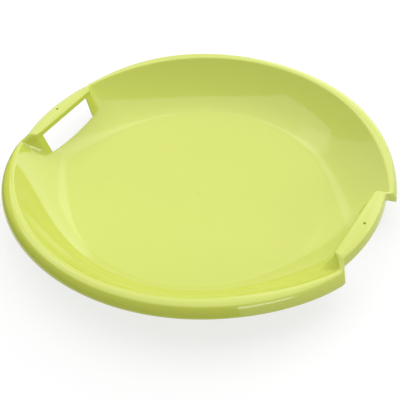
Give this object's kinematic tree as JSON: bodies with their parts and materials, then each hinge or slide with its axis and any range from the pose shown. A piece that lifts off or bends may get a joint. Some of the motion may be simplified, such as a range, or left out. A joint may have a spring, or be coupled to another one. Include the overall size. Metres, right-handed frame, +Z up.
{
  "type": "saucer sled",
  "caption": "Round moulded plastic snow saucer: a shallow dish to sit in, with a rolled rim that dips to raised hand grips over finger windows on opposite sides.",
  "frame": {"origin": "on the ground under the centre of the sole", "axes": "+Z up; the two hand grips lie on the X axis; front is -Y"},
  "size_m": [0.5372, 0.55, 0.0716],
  "materials": {
    "lime_plastic": "smooth glossy moulded polyethylene, lime green"
  },
  "bodies": {
    "root": {"sole_disc": "lime_plastic", "front_wall": "lime_plastic", "rear_wall": "lime_plastic", "front_rim": "lime_plastic", "rear_rim": "lime_plastic", "left_window_wall": "lime_plastic", "right_window_wall": "lime_plastic", "left_grip": "lime_plastic", "right_grip": "lime_plastic", "left_front_cheek": "lime_plastic", "left_rear_cheek": "lime_plastic", "right_front_cheek": "lime_plastic", "right_rear_cheek": "lime_plastic"}
  },
  "joints": []
}
